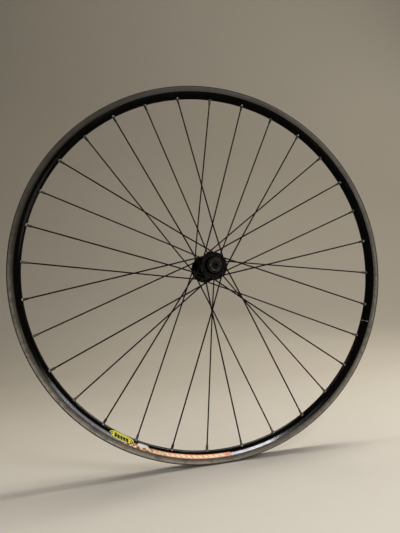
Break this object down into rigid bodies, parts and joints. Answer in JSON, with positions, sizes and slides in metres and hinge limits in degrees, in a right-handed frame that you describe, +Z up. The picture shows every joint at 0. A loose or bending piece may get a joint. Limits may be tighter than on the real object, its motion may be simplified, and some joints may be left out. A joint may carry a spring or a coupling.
{
  "type": "bicycle front wheel",
  "caption": "Bare rim-brake front wheel: hollow aluminium rim, crossed spokes and a black flanged hub with cup-and-cone bearings on a hollow axle.",
  "frame": {"origin": "wheel's centre, on the axle midway between the locknut faces", "axes": "+Y along the axle, away from the side that the picture shows; +Z up as the wheel hung; +X to the right seen from the near side"},
  "size_m": [0.6338, 0.108, 0.6338],
  "materials": {
    "rim": "machined grey brake tracks, glossy black side walls and crown",
    "raw_aluminium": "plain, hidden in the rim",
    "spokes": "black oxide, satin",
    "nipples": "nickel plated, dulled",
    "eyelets": "plated, dulled",
    "hub": "black anodised, satin",
    "dust_cap": "black, worn bright along the edge",
    "bearing_steel": "polished",
    "axle_steel": "dark, slightly rusty",
    "seal": "matt black",
    "decals": "printed film, worn"
  },
  "bodies": {
    "axle_set": {"axle": "axle_steel", "cone_near": "axle_steel", "cone_far": "axle_steel", "cone_seal_near": "seal", "cone_seal_far": "seal", "lock_washer_near": "axle_steel", "lock_washer_far": "axle_steel", "locknut_near": "axle_steel", "locknut_far": "axle_steel"},
    "wheel": {"rim": "rim", "rim_joint_sleeve": "raw_aluminium", "spoke_01": "spokes", "spoke_02": "spokes", "spoke_03": "spokes", "spoke_04": "spokes", "spoke_05": "spokes", "spoke_06": "spokes", "spoke_07": "spokes", "spoke_08": "spokes", "spoke_09": "spokes", "spoke_10": "spokes", "spoke_11": "spokes", "spoke_12": "spokes", "spoke_13": "spokes", "spoke_14": "spokes", "spoke_15": "spokes", "spoke_16": "spokes", "spoke_17": "spokes", "spoke_18": "spokes", "spoke_19": "spokes", "spoke_20": "spokes", "spoke_21": "spokes", "spoke_22": "spokes", "spoke_23": "spokes", "spoke_24": "spokes", "spoke_25": "spokes", "spoke_26": "spokes", "spoke_27": "spokes", "spoke_28": "spokes", "spoke_29": "spokes", "spoke_30": "spokes", "spoke_31": "spokes", "spoke_32": "spokes", "hub_shell": "hub", "bearing_cup_near": "bearing_steel", "bearing_cup_far": "bearing_steel", "dust_cap_near": "dust_cap", "dust_cap_far": "dust_cap"},
    "ball_cage_near": {"ball_cage_near": "bearing_steel"},
    "ball_cage_far": {"ball_cage_far": "bearing_steel"}
  },
  "joints": [
    {"name": "wheel_spin", "type": "hinge", "parent": "axle_set", "child": "wheel", "pos_m": [0, 0, 0], "axis": [0, 1, 0], "continuous": true},
    {"name": "ball_cage_near_spin", "type": "hinge", "parent": "axle_set", "child": "ball_cage_near", "pos_m": [0, -0.038, 0], "axis": [0, 1, 0], "continuous": true},
    {"name": "ball_cage_far_spin", "type": "hinge", "parent": "axle_set", "child": "ball_cage_far", "pos_m": [0, 0.038, 0], "axis": [0, 1, 0], "continuous": true}
  ],
  "couplings": [
    {"joint": "ball_cage_near_spin", "follows": "wheel_spin", "ratio": 0.605},
    {"joint": "ball_cage_far_spin", "follows": "wheel_spin", "ratio": 0.605}
  ]
}
